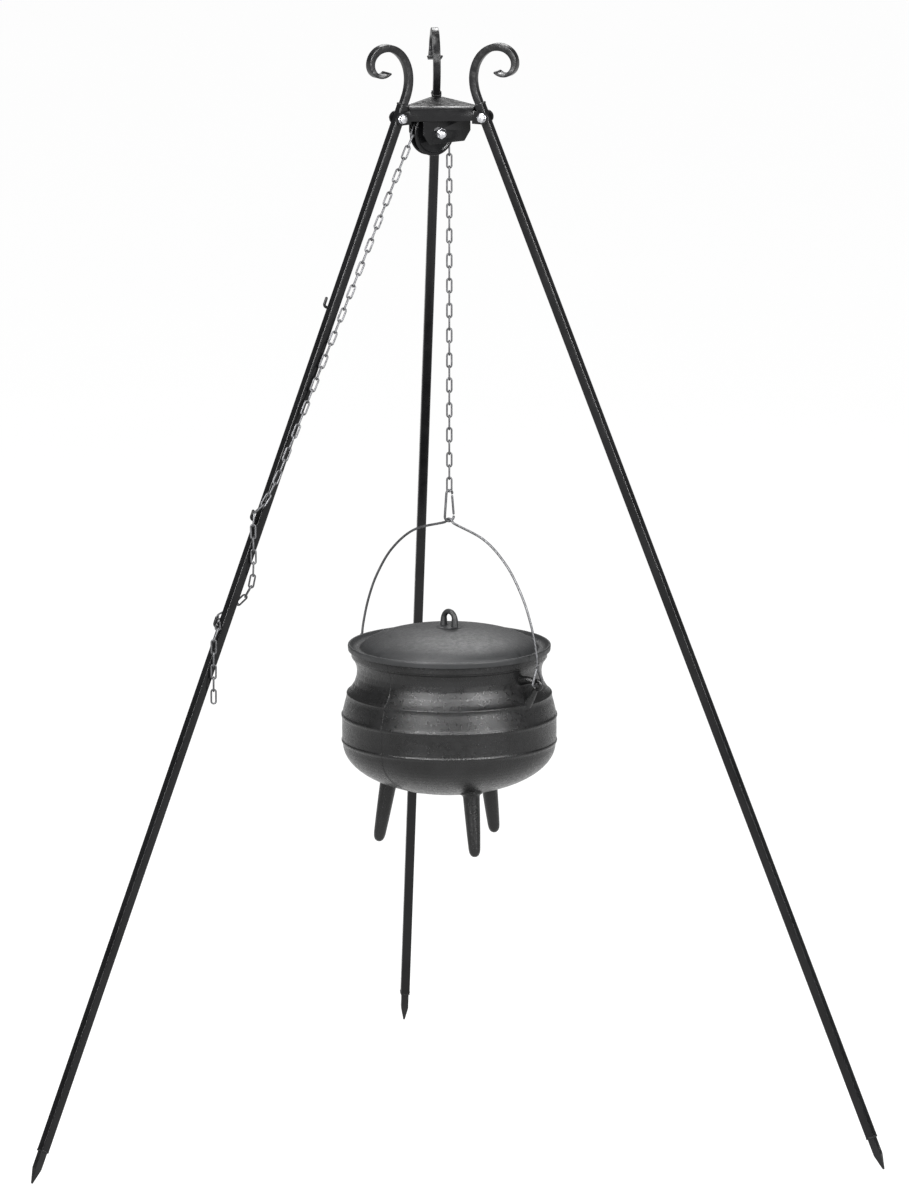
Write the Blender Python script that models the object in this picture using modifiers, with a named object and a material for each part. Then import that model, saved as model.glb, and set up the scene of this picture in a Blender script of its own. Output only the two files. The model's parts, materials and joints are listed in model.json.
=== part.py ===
"""Campfire tripod with a pot hoist, a cast three-legged pot, its lid and its bail.

Metres, +Z up. The origin is on the ground, in the middle of the object's bounding box; the
head stands in front of it, because two legs reach forward and one back. The back leg points along +Y, the left leg along azimuth 210 and the right along 330.
"""
import math

import bmesh
import bpy
from mathutils import Matrix, Vector

# ---------------------------------------------------------------- driving dimensions
GAP = 0.0003                    # left between pieces that touch

# tripod
HINGE_HEIGHT = 1.680            # leg bolts above the ground
HINGE_RADIUS = 0.081            # leg bolts from the middle of the head
FOOT_RADIUS = 0.800             # spike tips from the middle
HEAD_FORWARD = 0.19914          # the head's middle in front of the bounding box's middle
LEG_AZIMUTHS = {"left": 210, "right": 330, "back": 90}
TUBE = 0.015                    # square tube
TUBE_WALL = 0.0015
BAR = 0.012                     # square bar of the scrolls and spikes
TUBE_ABOVE_HINGE = 0.022
SPIKE_STRAIGHT = 0.031
SPIKE_POINT = 0.025
SPIKE_BLUNT = 0.003             # side of the flat at the very tip
SPIGOT = 0.014                  # how far bars reach into the tube

# scroll: a bend whose radius shrinks from start to end
SCROLL_LEAD = 0.012             # straight bar before the bend
SCROLL_TURN = 335               # degrees turned in all
SCROLL_RADIUS_START = 0.085
SCROLL_RADIUS_END = 0.0190
SCROLL_SHRINK = 3.4             # how quickly the radius shrinks
FLARE_WIDTH = 0.024             # fishtail at the scroll's end
FLARE_THICKNESS = 0.004

# head
PLATE = 0.003
TOP_UNDERSIDE = 1.6935          # underside of the top plate
SKIRT_DEPTH = 0.019
BEND_RADIUS = 0.064             # where the side plates bend into ears, from the middle
EAR_END_RADIUS = 0.011
SHY = 0.0002                    # keeps the faces of joined shapes apart
EAR_INSIDE = TUBE / 2 + 0.0005
LEG_BOLT = 0.004                # M8, radius
AXLE = 0.005                    # M10, radius
HOLE_PLAY = 0.0003
CHEEK_OFFSET = 0.0200           # middle of a cheek plate from the pulley's plane
CHEEK_BOTTOM = 1.6345
CHEEK_ENDS = (-0.0300, 0.0345)  # of its upper part, which is inside the side plates
CHEEK_HALF = 0.046              # half-length of its lower part, below the side plates
CHEEK_FOOT = 0.034              # half-length of its bottom edge
CHEEK_SLOPE = 0.0165            # height of its sloping corners

# pulley and chain
PULLEY_AZIMUTH = 30             # the wheel's plane holds this direction and +Z
PULLEY_SHIFT = -0.0146          # the wheel's middle along that direction
PULLEY_HEIGHT = 1.652
WHEEL_RADIUS = 0.0395
WHEEL_WIDTH = 0.018
PITCH_RADIUS = 0.0334
CHAIN_RADIUS = 0.0045           # outside of the links
SLACK_SLOPE = 27.6              # slack side, degrees from vertical

# hooks on the left leg, as metres along the leg below its bolt
HOOK_STATIONS = {"upper": 0.329, "middle": 0.694, "lower": 0.877}
HOOK_WIRE = 0.0024
HOOK_REACH = 0.011
HOOK_RISE = 0.016

# snap hook
SNAP_TOP = 1.0569
SNAP_BOTTOM = 1.0012
SNAP_WIRE = 0.002
SNAP_TOP_RADIUS = 0.0052
SNAP_BOTTOM_RADIUS = 0.0080
SNAP_YAW = 20

# pot
POT_SHIFT = PULLEY_SHIFT + PITCH_RADIUS
RIM_RADIUS = 0.1600
RIM_HEIGHT = 0.7902
WALL = 0.006
BOTTOM_HEIGHT = 0.5540
EAR_AZIMUTH = -43.5
EAR_HEIGHT = 0.7537
EAR_RADIUS = 0.1850             # the bail's eyes from the pot's axis
EAR_HOLE = 0.005
EAR_OUTSIDE = 0.0085
EAR_THICKNESS = 0.006
FOOT_AZIMUTHS = (46.5, 166.5, 286.5)
FOOT_TIP_RADIUS = 0.1176
FOOT_TIP_HEIGHT = 0.4660
FOOT_TOP_RADIUS = 0.098
FOOT_TOP_HEIGHT = 0.5705
BAIL_WIRE = 0.0018
BAIL_EYE = 0.0145               # half-width of the eye at each end
# half-width and height along an arm of the bail
BAIL_BENDS = ((0.0744, 0.9800), (0.1210, 0.9430), (0.1526, 0.8965), (0.1710, 0.8530), (0.1820, 0.8100))

SEGMENTS = 16                   # sides of small round pieces
ROUND = 44                      # sides of the pot and its lid

TILT = math.atan((FOOT_RADIUS - HINGE_RADIUS) / HINGE_HEIGHT)
LEG_LENGTH = math.hypot(FOOT_RADIUS - HINGE_RADIUS, HINGE_HEIGHT)
POT_PLACE = Matrix.Rotation(math.radians(PULLEY_AZIMUTH), 4, "Z") @ Vector((POT_SHIFT, 0, 0))


# ---------------------------------------------------------------- helpers
def clear_scene():
    for item in list(bpy.data.objects):
        bpy.data.objects.remove(item, do_unlink=True)


def new_collection(name):
    found = bpy.data.collections.new(name)
    bpy.context.scene.collection.children.link(found)
    return found


def material(name, colour, roughness, metallic):
    made = bpy.data.materials.new(name)
    made.use_nodes = True
    shader = made.node_tree.nodes["Principled BSDF"]
    shader.inputs["Base Color"].default_value = (*colour, 1)
    shader.inputs["Roughness"].default_value = roughness
    shader.inputs["Metallic"].default_value = metallic
    return made


def place(item, parent=None, cutter=False):
    """Put an object in its collection and under its parent."""
    (CUTTERS if cutter else PARTS).objects.link(item)
    if cutter:
        item.hide_render = True
        item.display_type = "WIRE"
    item.parent = parent or TRIPOD
    return item


def finish(item, finish_name):
    item.data.materials.append(material(item.name, *FINISHES[finish_name]))
    return item


def empty(name, matrix, parent=None):
    made = bpy.data.objects.new(name, None)
    PARTS.objects.link(made)
    made.parent = parent or TRIPOD
    made.matrix_local = matrix
    return made


def turned(azimuth, tilt=0.0, at=(0, 0, 0)):
    """A frame at a point, its X axis along an azimuth and leaning by tilt radians."""
    turn = Matrix.Rotation(math.radians(azimuth), 4, "Z")
    return Matrix.Translation(at) @ turn @ Matrix.Rotation(tilt, 4, "Y")


def mesh_object(name, build):
    """An object whose mesh is made by build(bmesh)."""
    shape = bmesh.new()
    build(shape)
    bmesh.ops.recalc_face_normals(shape, faces=shape.faces)
    data = bpy.data.meshes.new(name)
    shape.to_mesh(data)
    shape.free()
    return bpy.data.objects.new(name, data)


def box(name, size, at=(0, 0, 0), turn=0.0):
    matrix = Matrix.Translation(at) @ Matrix.Rotation(turn, 4, "Z") @ Matrix.Diagonal((*size, 1))
    return mesh_object(name, lambda shape: bmesh.ops.create_cube(shape, size=1, matrix=matrix))


def rod(name, radius, start, end, end_radius=None, sides=SEGMENTS):
    """A cylinder, or a cone where end_radius differs, from start to end."""
    start, end = Vector(start), Vector(end)
    along = end - start
    turn = Vector((0, 0, 1)).rotation_difference(along).to_matrix().to_4x4()
    matrix = Matrix.Translation((start + end) / 2) @ turn

    def build(shape):
        bmesh.ops.create_cone(shape, cap_ends=True, segments=sides, radius1=radius,
                              radius2=radius if end_radius is None else end_radius,
                              depth=along.length, matrix=matrix)
    return mesh_object(name, build)


def plate(name, outline, thickness, holes=()):
    """A flat sheet: a filled outline in local XY, centred on its thickness."""
    curve = bpy.data.curves.new(name, "CURVE")
    curve.dimensions = "2D"
    curve.fill_mode = "BOTH"
    curve.extrude = thickness / 2
    curve.resolution_u = 1
    for ring in (outline, *holes):
        spline = curve.splines.new("POLY")
        spline.points.add(len(ring) - 1)
        for point, (x, y) in zip(spline.points, ring):
            point.co = (x, y, 0, 1)
        spline.use_cyclic_u = True
    return bpy.data.objects.new(name, curve)


def wire(name, points, radius, resolution=2):
    """A round wire through points, with filled ends."""
    curve = bpy.data.curves.new(name, "CURVE")
    curve.dimensions = "3D"
    curve.bevel_depth = radius
    curve.bevel_resolution = resolution
    curve.use_fill_caps = True
    curve.resolution_u = 1
    spline = curve.splines.new("POLY")
    spline.points.add(len(points) - 1)
    for point, place_at in zip(spline.points, points):
        point.co = (*place_at, 1)
    return bpy.data.objects.new(name, curve)


def solid_wire(name, points, radius, sides=8):
    """A round wire as a mesh, for Boolean unions."""
    points = [Vector(p) for p in points]

    def build(shape):
        rings = []
        normal = None
        for i, here in enumerate(points):
            along = (points[min(i + 1, len(points) - 1)] - points[max(i - 1, 0)]).normalized()
            if normal is None:
                normal = along.orthogonal().normalized()
            normal = (normal - along * normal.dot(along)).normalized()
            side = along.cross(normal)
            angles = [2 * math.pi * k / sides for k in range(sides)]
            rings.append([shape.verts.new(here + radius * (math.cos(a) * normal + math.sin(a) * side))
                          for a in angles])
        skin(shape, rings)
    return mesh_object(name, build)


def skin(shape, rings):
    """Join rings of vertices into a closed tube."""
    for low, high in zip(rings, rings[1:]):
        for k in range(len(low)):
            after = (k + 1) % len(low)
            shape.faces.new((low[k], low[after], high[after], high[k]))
    shape.faces.new(rings[0])
    shape.faces.new(rings[-1])


def screw(item, steps):
    spin = item.modifiers.new("Screw", "SCREW")
    spin.steps = spin.render_steps = steps
    spin.use_merge_vertices = True
    spin.merge_threshold = 0.0001
    spin.use_smooth_shade = True


def turned_solid(name, profile, steps):
    """A profile of (radius, height) turned about Z; its outside runs from top to bottom."""
    data = bpy.data.meshes.new(name)
    data.from_pydata([(r, 0, z) for r, z in profile],
                     [(i, i + 1) for i in range(len(profile) - 1)], [])
    item = bpy.data.objects.new(name, data)
    screw(item, steps)
    return item


def boolean(item, other, operation):
    step = item.modifiers.new(other.name, "BOOLEAN")
    step.operation = operation
    step.solver = "EXACT"
    step.object = other


def arc(centre, radius, start, end, count):
    """Points on an arc, angles in degrees, in the plane of the two coordinates."""
    steps = [math.radians(start + (end - start) * i / (count - 1)) for i in range(count)]
    return [(centre[0] + radius * math.cos(a), centre[1] + radius * math.sin(a)) for a in steps]


def smooth_path(points, count):
    """Points evenly spread on a Catmull-Rom curve through a few hand-placed points."""
    points = [Vector(p) for p in points]
    points = [2 * points[0] - points[1], *points, 2 * points[-1] - points[-2]]
    spans = len(points) - 3
    found = []
    for i in range(count):
        place_at = spans * i / (count - 1)
        span = min(int(place_at), spans - 1)
        t = place_at - span
        a, b, c, d = points[span:span + 4]
        found.append(0.5 * (2 * b + (c - a) * t + (2 * a - 5 * b + 4 * c - d) * t * t
                            + (3 * b - a - 3 * c + d) * t ** 3))
    return found


# ---------------------------------------------------------------- tripod legs
def bar_loft(name, stations):
    """A rectangular bar in the local XZ plane; stations are (x, z, heading, thickness, width)."""
    def build(shape):
        rings = []
        for x, z, heading, thick, wide in stations:
            across = Vector((math.sin(heading), 0, -math.cos(heading)))
            middle = Vector((x, 0, z))
            corners = ((1, 1), (1, -1), (-1, -1), (-1, 1))
            rings.append([shape.verts.new(middle + across * (thick / 2 * a) + Vector((0, wide / 2 * b, 0)))
                          for a, b in corners])
        skin(shape, rings)
    return mesh_object(name, build)


def scroll_stations():
    """The bar leaves the tube, bends outward in a shrinking curl and flares at its end."""
    up = math.pi / 2
    x, z = 0.0, TUBE_ABOVE_HINGE + GAP
    inner = TUBE - 2 * TUBE_WALL - 2 * GAP
    stations = [(x, z - SPIGOT, up, inner, inner), (x, z, up, inner, inner),
                (x, z + 0.0001, up, BAR, BAR), (x, z + SCROLL_LEAD, up, BAR, BAR)]
    z += SCROLL_LEAD
    steps = 26
    turn = math.radians(SCROLL_TURN)
    for i in range(steps):
        share = (i + 0.5) / steps
        radius = SCROLL_RADIUS_END + (SCROLL_RADIUS_START - SCROLL_RADIUS_END) * (1 - share) ** SCROLL_SHRINK
        heading = up - turn * share
        length = radius * turn / steps
        x += length * math.cos(heading)
        z += length * math.sin(heading)
        after = (i + 1) / steps
        flare = max(0.0, (after - 0.45) / 0.55)
        thick = BAR + (FLARE_THICKNESS - BAR) * flare
        wide = BAR + (FLARE_WIDTH - BAR) * flare ** 1.5
        stations.append((x, z, up - turn * after, thick, wide))
    return stations


def leg_frame(azimuth):
    """X out of the leg's outer face, Y across it, Z up along it, from its bolt."""
    hinge = Matrix.Rotation(math.radians(azimuth), 4, "Z") @ Vector((HINGE_RADIUS, 0, HINGE_HEIGHT))
    return turned(azimuth, -TILT, hinge)


def leg(side, azimuth):
    pose = leg_frame(azimuth)
    joint = empty(f"leg_{side}_joint", pose)
    tube_end = -(LEG_LENGTH - SPIKE_STRAIGHT - SPIKE_POINT)

    length = TUBE_ABOVE_HINGE - tube_end
    middle = (TUBE_ABOVE_HINGE + tube_end) / 2
    tube = finish(place(box(f"leg_tube_{side}", (TUBE, TUBE, length), (0, 0, middle)), joint), "black_paint")
    inside = TUBE - 2 * TUBE_WALL
    hollow = place(box(f"tube_hollow_{side}", (inside, inside, length + 0.01), (0, 0, middle)), joint, True)
    boolean(tube, hollow, "DIFFERENCE")
    bore = place(rod(f"tube_bore_{side}", LEG_BOLT + HOLE_PLAY, (0, -TUBE, 0), (0, TUBE, 0)), joint, True)
    boolean(tube, bore, "DIFFERENCE")

    finish(place(bar_loft(f"scroll_{side}", scroll_stations()), joint), "black_paint")

    down = -math.pi / 2
    spigot = inside - 2 * GAP
    z = tube_end - GAP
    spike = [(0, z + SPIGOT, down, spigot, spigot), (0, z, down, spigot, spigot),
             (0, z - 0.0001, down, BAR, BAR), (0, z - SPIKE_STRAIGHT, down, BAR, BAR),
             (0, -LEG_LENGTH, down, SPIKE_BLUNT, SPIKE_BLUNT)]
    finish(place(bar_loft(f"spike_{side}", spike), joint), "black_paint")

    # the bolt's head is on the side that faces the front
    front = 1 if side == "left" else -1
    outside = EAR_INSIDE + PLATE + GAP
    shank = rod(f"leg_bolt_{side}", LEG_BOLT, (0, front * (outside + 0.001), 0),
                (0, -front * (outside + 0.008), 0))
    head = place(rod(f"leg_bolt_head_{side}", 0.0070, (0, front * outside, 0),
                     (0, front * (outside + 0.0050), 0), 0.0062, 6), None, True)
    place(shank)
    shank.matrix_local = head.matrix_local = pose
    boolean(shank, head, "UNION")
    finish(shank, "zinc")
    nut = place(rod(f"leg_nut_{side}", 0.0074, (0, -front * outside, 0),
                    (0, -front * (outside + 0.0065), 0), None, 6))
    nut.matrix_local = pose
    nut_bore = place(rod(f"leg_nut_bore_{side}", LEG_BOLT + GAP, (0, 0, 0), (0, -front * 0.03, 0)), None, True)
    nut_bore.matrix_local = pose
    boolean(nut, nut_bore, "DIFFERENCE")
    finish(nut, "zinc")
    return joint


def chain_hook(name, station, joint):
    """A J of round bar: out from the leg's outer face, then up."""
    face = TUBE / 2 + GAP
    bend = 0.004
    out = face + HOOK_REACH
    corner = [(x, 0, z) for x, z in arc((out - bend, -station + bend), bend, -90, 0, 5)]
    points = [(face, 0, -station), *corner, (out, 0, -station + HOOK_RISE)]
    finish(place(wire(f"chain_hook_{name}", points, HOOK_WIRE), joint), "black_paint")


# ---------------------------------------------------------------- head
def side_plate(name, normal):
    """A folded side of the head: a skirt between two legs whose ends bend into ears."""
    half = math.radians(60)
    ear_middle = EAR_INSIDE + PLATE / 2
    skirt_at = BEND_RADIUS * math.cos(half) + ear_middle * math.cos(math.radians(30))
    reach = BEND_RADIUS * math.sin(half) - ear_middle * math.sin(math.radians(30))
    top = TOP_UNDERSIDE - GAP
    pose = turned(normal)
    skirt = box(name, (PLATE, 2 * reach, SKIRT_DEPTH), (skirt_at, 0, top - SKIRT_DEPTH / 2))
    place(skirt).matrix_local = pose
    for hand, sign in (("a", 1), ("b", -1)):
        along = Vector((math.cos(half), sign * math.sin(half), 0))
        across = Vector((math.sin(half), -sign * math.cos(half), 0))
        start = along * (BEND_RADIUS - 0.0008) + across * ear_middle
        end = along * HINGE_RADIUS + across * ear_middle
        middle = (start + end) / 2
        low, high = HINGE_HEIGHT - EAR_END_RADIUS, HINGE_HEIGHT + EAR_END_RADIUS
        ear = box(f"{name}_ear_{hand}", ((end - start).length, PLATE - 2 * SHY, high - low - 2 * SHY),
                  (middle.x, middle.y, (low + high) / 2), sign * half)
        place(ear, None, True).matrix_local = pose
        boolean(skirt, ear, "UNION")
        centre = Vector((end.x, end.y, HINGE_HEIGHT))
        tip = rod(f"{name}_tip_{hand}", EAR_END_RADIUS, centre - across * PLATE / 2,
                  centre + across * PLATE / 2, None, 24)
        place(tip, None, True).matrix_local = pose
        boolean(skirt, tip, "UNION")
        bore = rod(f"{name}_bore_{hand}", LEG_BOLT + HOLE_PLAY, centre - across * PLATE,
                   centre + across * PLATE)
        place(bore, None, True).matrix_local = pose
        boolean(skirt, bore, "DIFFERENCE")
    finish(skirt, "black_paint")
    return skirt_at


def head():
    normals = {"front": 270, "right": 30, "left": 150}
    for name, normal in normals.items():
        skirt_at = side_plate(f"side_plate_{name}", normal)

    # top plate: a triangle whose cut corners are the stops of the opened legs
    edge = skirt_at + PLATE / 2
    level = TOP_UNDERSIDE + PLATE - HINGE_HEIGHT
    stop = HINGE_RADIUS - level * math.tan(TILT) - TUBE / 2 / math.cos(TILT) - GAP
    outline = []
    for azimuth in (30, 150, 270):
        for sign in (-1, 1):
            # where this edge line meets the cut corner's line
            corner = azimuth + sign * 60
            turn = math.radians(corner - azimuth)
            slide = (stop - edge * math.cos(turn)) / math.sin(turn)
            angle = math.radians(azimuth)
            outline.append((edge * math.cos(angle) - slide * math.sin(angle),
                            edge * math.sin(angle) + slide * math.cos(angle)))
    top = place(plate("top_plate", outline, PLATE))
    top.location.z = TOP_UNDERSIDE + PLATE / 2
    finish(top, "black_paint")

    frame = empty("pulley_frame", turned(PULLEY_AZIMUTH, 0, (0, 0, 0)))
    axle_at = Vector((PULLEY_SHIFT, 0, PULLEY_HEIGHT))
    crown = TOP_UNDERSIDE - GAP
    for name, sign in (("front", -1), ("rear", 1)):
        start, reach = CHEEK_ENDS
        low, slope = CHEEK_BOTTOM, CHEEK_BOTTOM + CHEEK_SLOPE
        under = crown - SKIRT_DEPTH - 2 * GAP
        shape = [(start, crown), (reach, crown), (reach, under), (CHEEK_HALF, under), (CHEEK_HALF, slope),
                 (CHEEK_FOOT, low), (-CHEEK_FOOT, low), (-CHEEK_HALF, slope), (-CHEEK_HALF, under),
                 (start, under)]
        hole = arc((axle_at.x, axle_at.z), AXLE + HOLE_PLAY, 0, 360 - 360 / 24, 24)
        cheek = place(plate(f"cheek_{name}", shape, PLATE, [hole]), frame)
        cheek.matrix_local = Matrix.Translation((0, sign * CHEEK_OFFSET, 0)) @ Matrix.Rotation(
            math.pi / 2, 4, "X")
        finish(cheek, "black_paint")
        inner = CHEEK_OFFSET - PLATE / 2 - GAP
        outer = WHEEL_WIDTH / 2 + 0.0006
        spacer = rod(f"axle_spacer_{name}", 0.009, axle_at + Vector((0, sign * outer, 0)),
                     axle_at + Vector((0, sign * inner, 0)))
        place(spacer, frame)
        bore = place(rod(f"spacer_bore_{name}", AXLE + HOLE_PLAY, axle_at - Vector((0, 0.05, 0)),
                         axle_at + Vector((0, 0.05, 0))), frame, True)
        boolean(spacer, bore, "DIFFERENCE")
        finish(spacer, "zinc")

    outside = CHEEK_OFFSET + PLATE / 2 + GAP
    axle = place(rod("axle_bolt", AXLE, axle_at + Vector((0, outside + 0.002, 0)),
                     axle_at - Vector((0, outside + 0.0060, 0))), frame)
    bolt_head = place(rod("axle_bolt_head", 0.0095, axle_at + Vector((0, outside, 0)),
                          axle_at + Vector((0, outside + 0.0064, 0)), 0.0085, 6), frame, True)
    boolean(axle, bolt_head, "UNION")
    finish(axle, "zinc")

    # cap nut: hexagon below, dome above, blind thread inside
    hexagon = [(0.0092, 0.0), (0.0092, 0.0062), (0.0082, 0.0072)]
    dome = [(r, z) for r, z in arc((0, 0.0066), 0.0072, 5, 90, 6)]
    depth = 0.0068
    bore_radius = AXLE + GAP
    down = [(0, dome[-1][1])] + dome[-2::-1] + [hexagon[2], hexagon[1], hexagon[0]]
    nut = place(turned_solid("axle_nut", down + [(bore_radius, 0), (bore_radius, depth), (0, depth)], 18),
                frame)
    nut.matrix_local = Matrix.Translation(axle_at - Vector((0, outside, 0))) @ Matrix.Rotation(
        math.pi / 2, 4, "X")
    finish(nut, "zinc")
    return frame, axle_at


def pulley(frame, axle_at):
    joint = empty("pulley_joint", Matrix.Translation(axle_at), frame)
    half = WHEEL_WIDTH / 2
    floor = PITCH_RADIUS - CHAIN_RADIUS - 2 * GAP
    lip = 0.0028
    bore = AXLE + HOLE_PLAY
    groove = [(WHEEL_RADIUS, half - 0.0015), (WHEEL_RADIUS, half - lip), (floor + 0.002, CHAIN_RADIUS + 2 * GAP),
              (floor, 0.0025), (floor, -0.0025), (floor + 0.002, -CHAIN_RADIUS - 2 * GAP),
              (WHEEL_RADIUS, -half + lip), (WHEEL_RADIUS, -half + 0.0015)]
    profile = [(bore, half), (WHEEL_RADIUS - 0.0015, half), *groove, (WHEEL_RADIUS - 0.0015, -half),
               (bore, -half), (bore, half)]
    wheel = place(turned_solid("pulley_wheel", profile, 40), joint)
    wheel.matrix_local = Matrix.Rotation(math.pi / 2, 4, "X")
    finish(wheel, "black_paint")


# ---------------------------------------------------------------- chain
def leg_side_point(out, front, height):
    """A point given out along the left leg's azimuth, toward the front of it, and up."""
    turn = Matrix.Rotation(math.radians(LEG_AZIMUTHS["left"]), 4, "Z")
    return turn @ Vector((out, front, height))


def chains():
    """The outer envelope of the link chain: over the wheel, down to the pot, out to the leg."""
    top = SNAP_TOP + GAP
    x, y = POT_PLACE.x, POT_PLACE.y
    hang = wire("chain_hanging", [(x, y, PULLEY_HEIGHT - 0.0005), (x, y, (PULLEY_HEIGHT + top) / 2), (x, y, top)],
                CHAIN_RADIUS)
    finish(place(hang), "zinc")

    turn = turned(PULLEY_AZIMUTH)
    over = arc((PULLEY_SHIFT, PULLEY_HEIGHT), PITCH_RADIUS, 0.8, 180 - SLACK_SLOPE - 0.8, 15)
    finish(place(wire("chain_over_wheel", [turn @ Vector((s, 0, z)) for s, z in over], CHAIN_RADIUS)), "zinc")

    slope = math.radians(SLACK_SLOPE)
    out = -PULLEY_SHIFT + PITCH_RADIUS * math.cos(slope)
    height = PULLEY_HEIGHT + PITCH_RADIUS * math.sin(slope)
    slack = [(out, 0, height), (0.190, 0.0105, 1.388), (0.300, 0.0184, 1.178), (0.336, 0.0200, 1.110),
             (0.3600, 0.0190, 1.068)]
    points = smooth_path([leg_side_point(*p) for p in slack], 25)
    finish(place(wire("chain_slack", points, CHAIN_RADIUS)), "zinc")

    loop = [(0.3735, 0.0130, 1.036), (0.3745, 0.0138, 0.985), (0.3760, 0.0125, 0.950), (0.3785, 0.0020, 0.928),
            (0.3850, -0.0120, 0.912), (0.4040, -0.0155, 0.898), (0.4300, -0.0135, 0.888)]
    points = smooth_path([leg_side_point(*p) for p in loop], 19)
    finish(place(wire("chain_loop", points, CHAIN_RADIUS), JOINTS["left"]), "zinc")

    tail = [(0.4520, 0.0125, 0.862), (0.4530, 0.0135, 0.830), (0.4535, 0.0140, 0.790), (0.4535, 0.0140, 0.753)]
    points = smooth_path([leg_side_point(*p) for p in tail], 8)
    finish(place(wire("chain_tail", points, CHAIN_RADIUS), JOINTS["left"]), "zinc")
    for name in ("chain_loop", "chain_tail"):
        item = bpy.data.objects[name]
        item.matrix_parent_inverse = leg_frame(LEG_AZIMUTHS["left"]).inverted()


# ---------------------------------------------------------------- snap hook
def snap_hook(frame):
    """A pear-shaped ring of round wire, open on one side, with a sprung gate across the opening."""
    low = SNAP_BOTTOM + SNAP_WIRE + SNAP_BOTTOM_RADIUS
    high = SNAP_TOP - SNAP_WIRE - SNAP_TOP_RADIUS
    flank = math.degrees(math.asin((SNAP_BOTTOM_RADIUS - SNAP_TOP_RADIUS) / (high - low)))
    top = arc((0, high), SNAP_TOP_RADIUS, -18, 180 - flank, 9)
    bottom = arc((0, low), SNAP_BOTTOM_RADIUS, 180 - flank, 360 + 4, 13)
    ring = wire("snap_hook", [(x, 0, z) for x, z in top + bottom], SNAP_WIRE)
    finish(place(ring, frame), "zinc")
    pivot = Vector((bottom[-1][0], 0, bottom[-1][1] + SNAP_WIRE + 0.0005))
    tip = Vector((top[0][0] - 0.0002, 0, top[0][1] - SNAP_WIRE - 0.0005))
    joint = empty("snap_gate_joint", Matrix.Translation(pivot), frame)
    gate = place(wire("snap_gate", [(0, 0, 0.0002), tip - pivot], SNAP_WIRE * 0.9), joint)
    finish(gate, "zinc")


# ---------------------------------------------------------------- pot
def pot_outline():
    """The casting's outside from rim to bottom, with its collar and three raised rings."""
    neck = [(RIM_RADIUS, RIM_HEIGHT), (RIM_RADIUS, 0.7780), (0.1560, 0.7752), (0.1508, 0.7590),
            (0.1522, 0.7440), (0.1600, 0.7280)]
    rings = [(0.1655, 0.7205), (0.1678, 0.7178), (0.1672, 0.7150), (0.1722, 0.6980), (0.1752, 0.6862),
             (0.1767, 0.6835), (0.1767, 0.6805), (0.1755, 0.6785), (0.1752, 0.6425), (0.1764, 0.6400),
             (0.1758, 0.6370), (0.1735, 0.6350)]
    bowl = [(0.1735 * math.cos(a), 0.6350 - (0.6350 - BOTTOM_HEIGHT) * math.sin(a))
            for a in [math.radians(angle) for angle in range(12, 90, 12)]]
    return neck + rings + bowl + [(0, BOTTOM_HEIGHT)]


def pot_inline():
    """The inside from the middle of the bottom to the rim."""
    low = BOTTOM_HEIGHT + 1.5 * WALL
    wide = 0.1690
    bowl = [(wide * math.sin(a), 0.650 - (0.650 - low) * math.cos(a))
            for a in [math.radians(angle) for angle in range(18, 91, 18)]]
    return [(0, low)] + bowl + [(wide, 0.678), (0.1575, 0.7130), (0.1460, 0.7440), (0.1450, 0.7600),
                                (0.1535, 0.7800), (0.1545, RIM_HEIGHT)]


def pot(frame):
    body = place(turned_solid("pot", pot_inline() + pot_outline(), ROUND), frame)
    for i, azimuth in enumerate(FOOT_AZIMUTHS):
        turn = turned(azimuth)
        top = turn @ Vector((FOOT_TOP_RADIUS, 0, FOOT_TOP_HEIGHT))
        tip = turn @ Vector((FOOT_TIP_RADIUS, 0, FOOT_TIP_HEIGHT))
        collar = top.lerp(tip, 0.27)
        boss = place(rod(f"pot_boss_{i}", 0.0190, top, collar, 0.0180), frame, True)
        foot = place(rod(f"pot_foot_{i}", 0.0138, top.lerp(tip, 0.1), tip, 0.0085), frame, True)
        boolean(body, boss, "UNION")
        boolean(body, foot, "UNION")
    for i, azimuth in enumerate((EAR_AZIMUTH, EAR_AZIMUTH + 180)):
        turn = turned(azimuth)
        # the lug: a rounded plate standing out of the shoulder, in the upright plane of its azimuth
        half = EAR_THICKNESS / 2
        eye = place(rod(f"pot_ear_{i}", EAR_OUTSIDE, (EAR_RADIUS, -half, EAR_HEIGHT),
                        (EAR_RADIUS, half, EAR_HEIGHT), None, 20), frame, True)
        inner = 0.1490
        web = place(box(f"pot_web_{i}", (EAR_RADIUS - inner, EAR_THICKNESS - 2 * SHY, 2 * (EAR_OUTSIDE - SHY)),
                        ((EAR_RADIUS + inner) / 2, 0, EAR_HEIGHT)), frame, True)
        root = place(box(f"pot_root_{i}", (0.025, EAR_THICKNESS + 0.002, 0.022),
                         (0.1665, 0, EAR_HEIGHT - EAR_OUTSIDE - 0.0095)), frame, True)
        hole = place(rod(f"pot_eye_{i}", EAR_HOLE, (EAR_RADIUS, -0.02, EAR_HEIGHT),
                         (EAR_RADIUS, 0.02, EAR_HEIGHT)), frame, True)
        for item, operation in ((eye, "UNION"), (web, "UNION"), (root, "UNION"), (hole, "DIFFERENCE")):
            item.matrix_local = turn
            boolean(body, item, operation)
    finish(body, "cast_iron")


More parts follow.
